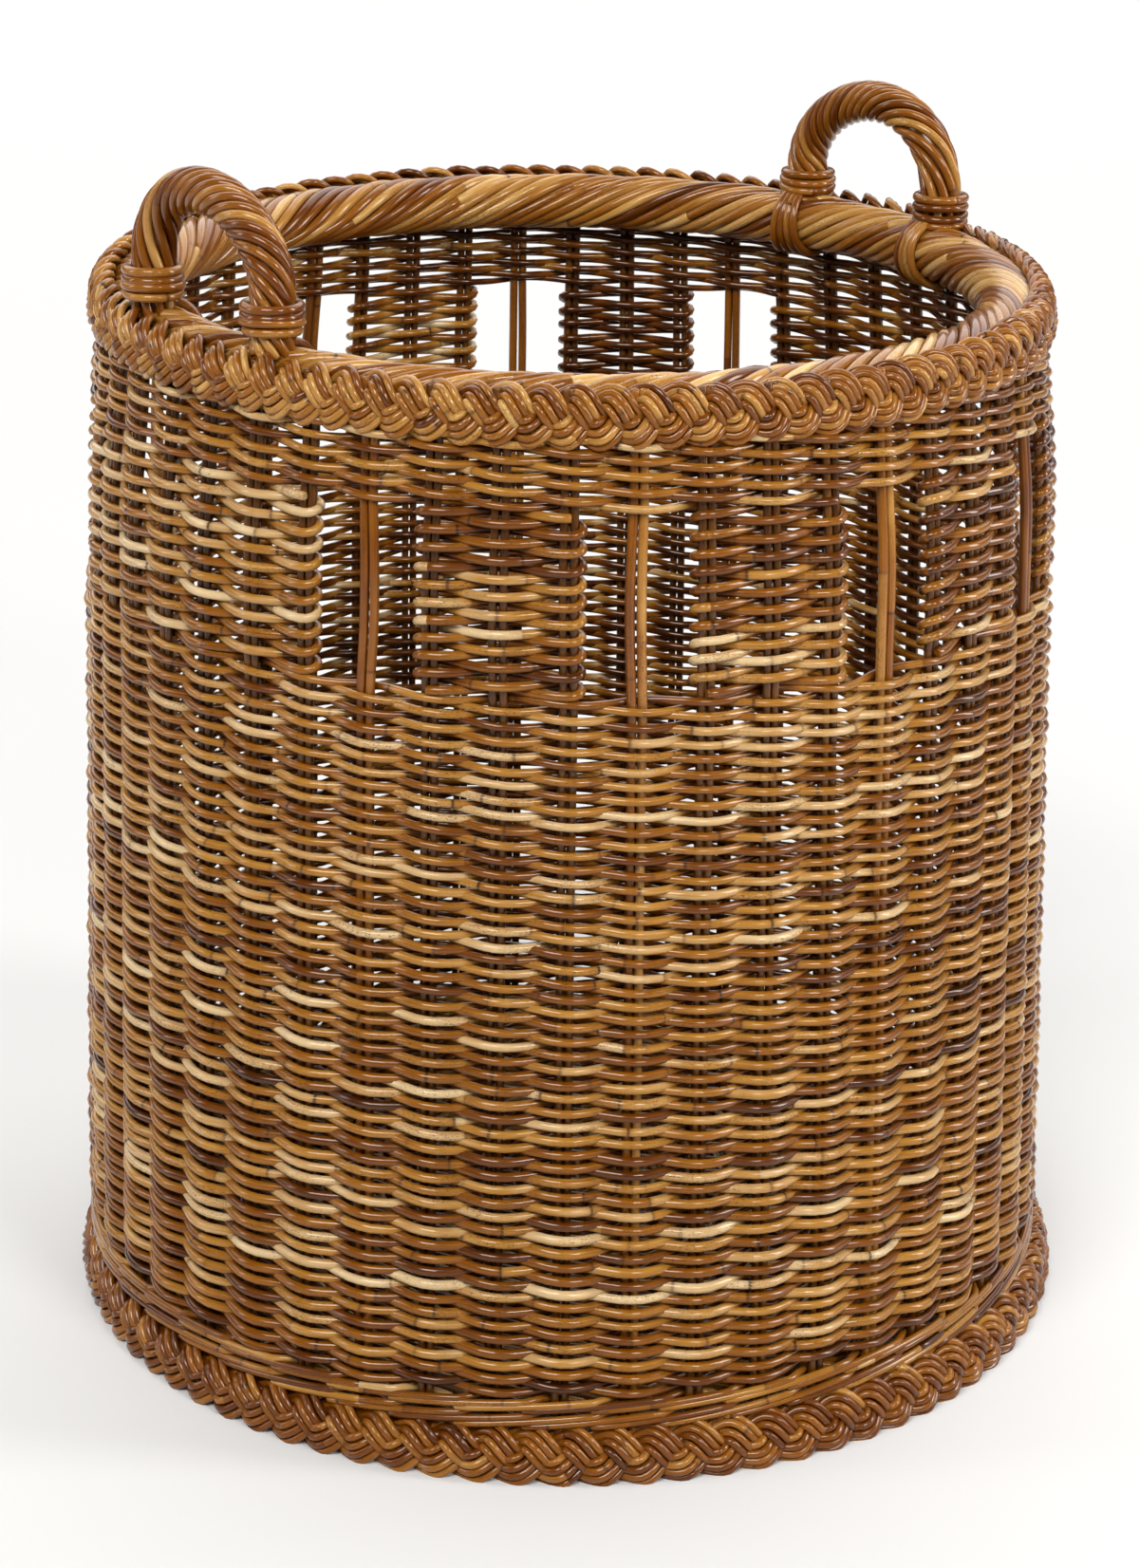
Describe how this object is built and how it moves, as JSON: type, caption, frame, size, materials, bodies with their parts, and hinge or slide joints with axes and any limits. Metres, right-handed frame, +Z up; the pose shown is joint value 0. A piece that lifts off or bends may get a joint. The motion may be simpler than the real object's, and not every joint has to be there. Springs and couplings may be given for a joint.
{
  "type": "wicker log basket",
  "caption": "Round woven rattan log basket with a band of windows, plaited rim and foot, and two rope handles.",
  "frame": {"origin": "centre of the foot's underside, on the floor", "axes": "+Z up along the basket's axis; -Y is the side seen from the front; +X is to the right seen from the front"},
  "size_m": [0.5119, 0.512, 0.594],
  "materials": {
    "stake_cane": "varnished rattan, semi-gloss",
    "siding_cane": "varnished rattan, semi-gloss",
    "wale_cane": "varnished rattan, semi-gloss",
    "panel_cane": "varnished rattan, semi-gloss",
    "border_cane": "varnished rattan, semi-gloss",
    "hoop_cane": "varnished rattan, semi-gloss",
    "handle_cane": "varnished rattan, semi-gloss",
    "binding_cane": "varnished rattan, semi-gloss",
    "base_cane": "varnished rattan, semi-gloss"
  },
  "bodies": {
    "root": {"band_upper": "panel_cane", "base_boss": "base_cane", "base_spokes": "base_cane", "base_weave": "base_cane", "foot_braid": "border_cane", "handle_left": "handle_cane", "handle_left_lashings": "binding_cane", "handle_left_wraps": "binding_cane", "handle_right": "handle_cane", "handle_right_lashings": "binding_cane", "handle_right_wraps": "binding_cane", "panel_01": "panel_cane", "panel_02": "panel_cane", "panel_03": "panel_cane", "panel_04": "panel_cane", "panel_05": "panel_cane", "panel_06": "panel_cane", "panel_07": "panel_cane", "panel_08": "panel_cane", "panel_09": "panel_cane", "panel_10": "panel_cane", "rim_braid": "border_cane", "rim_hoop": "hoop_cane", "siding": "siding_cane", "stakes_wall": "stake_cane", "stakes_window": "stake_cane", "wale": "wale_cane"}
  },
  "joints": []
}
